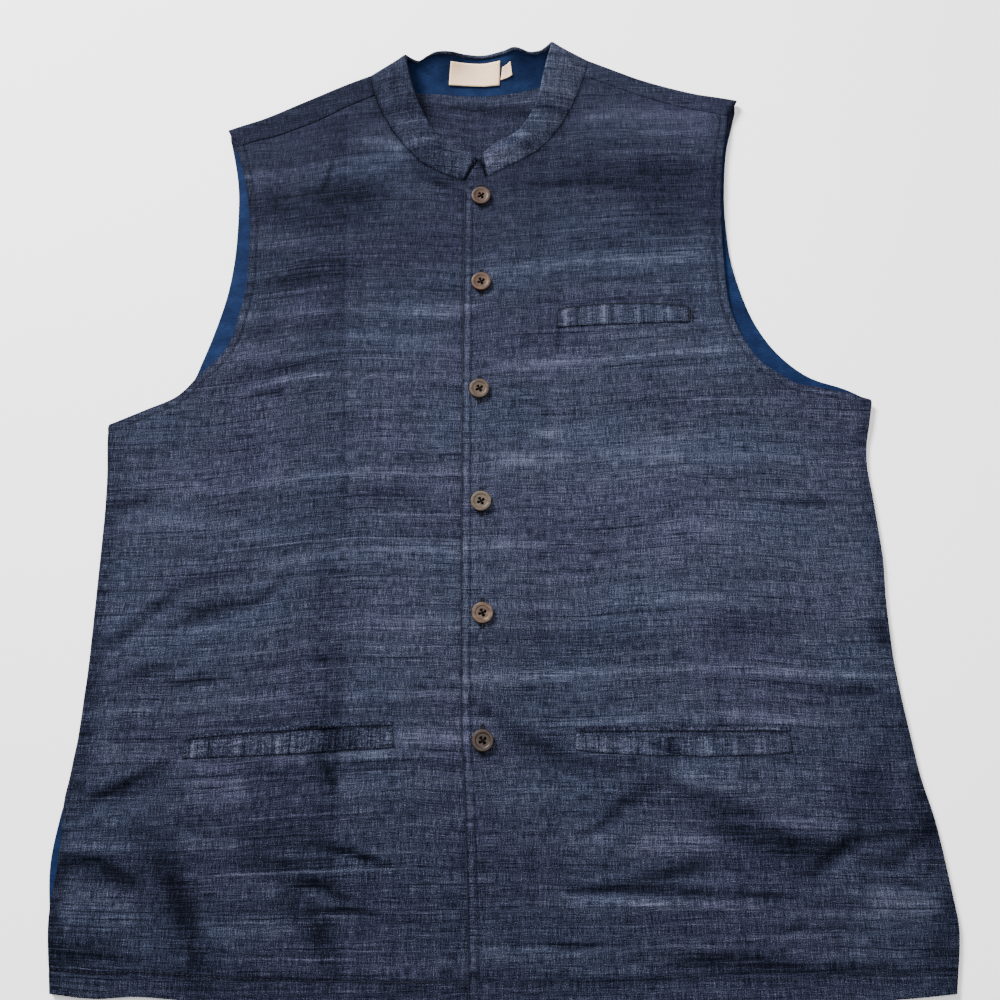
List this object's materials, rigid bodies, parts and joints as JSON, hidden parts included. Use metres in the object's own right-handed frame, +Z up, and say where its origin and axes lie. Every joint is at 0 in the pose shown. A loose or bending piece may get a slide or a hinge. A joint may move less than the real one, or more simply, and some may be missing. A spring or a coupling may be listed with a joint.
{
  "type": "nehru jacket",
  "caption": "Sleeveless band-collar jacket in slubbed slate-blue cloth, buttoned up and laid flat on its back, with welt pockets and blue lining.",
  "frame": {"origin": "middle of the jacket's length and width as it lies, on the surface that it lies on", "axes": "+Z up out of the front panels, +Y from the hem to the collar, +X towards the wearer's left, which is the viewer's right"},
  "size_m": [0.6031, 0.7267, 0.021],
  "materials": {
    "self_fabric": "matt slubbed weave",
    "lining": "smooth plain lining",
    "button": "satin, horn-like",
    "label_main": "matt woven tape",
    "label_size": "matt woven tape"
  },
  "bodies": {
    "root": {"armhole_lining_left": "lining", "armhole_lining_right": "lining", "back": "self_fabric", "button_1": "button", "button_2": "button", "button_3": "button", "button_4": "button", "button_5": "button", "button_6": "button", "chest_welt": "self_fabric", "collar": "self_fabric", "collar_lining": "lining", "front_left": "self_fabric", "front_right": "self_fabric", "hip_jet_left": "self_fabric", "hip_jet_right": "self_fabric", "hip_welt_left": "self_fabric", "hip_welt_right": "self_fabric", "label_main": "label_main", "label_size": "label_size", "neck_facing": "self_fabric", "vent_lining": "lining"}
  },
  "joints": []
}
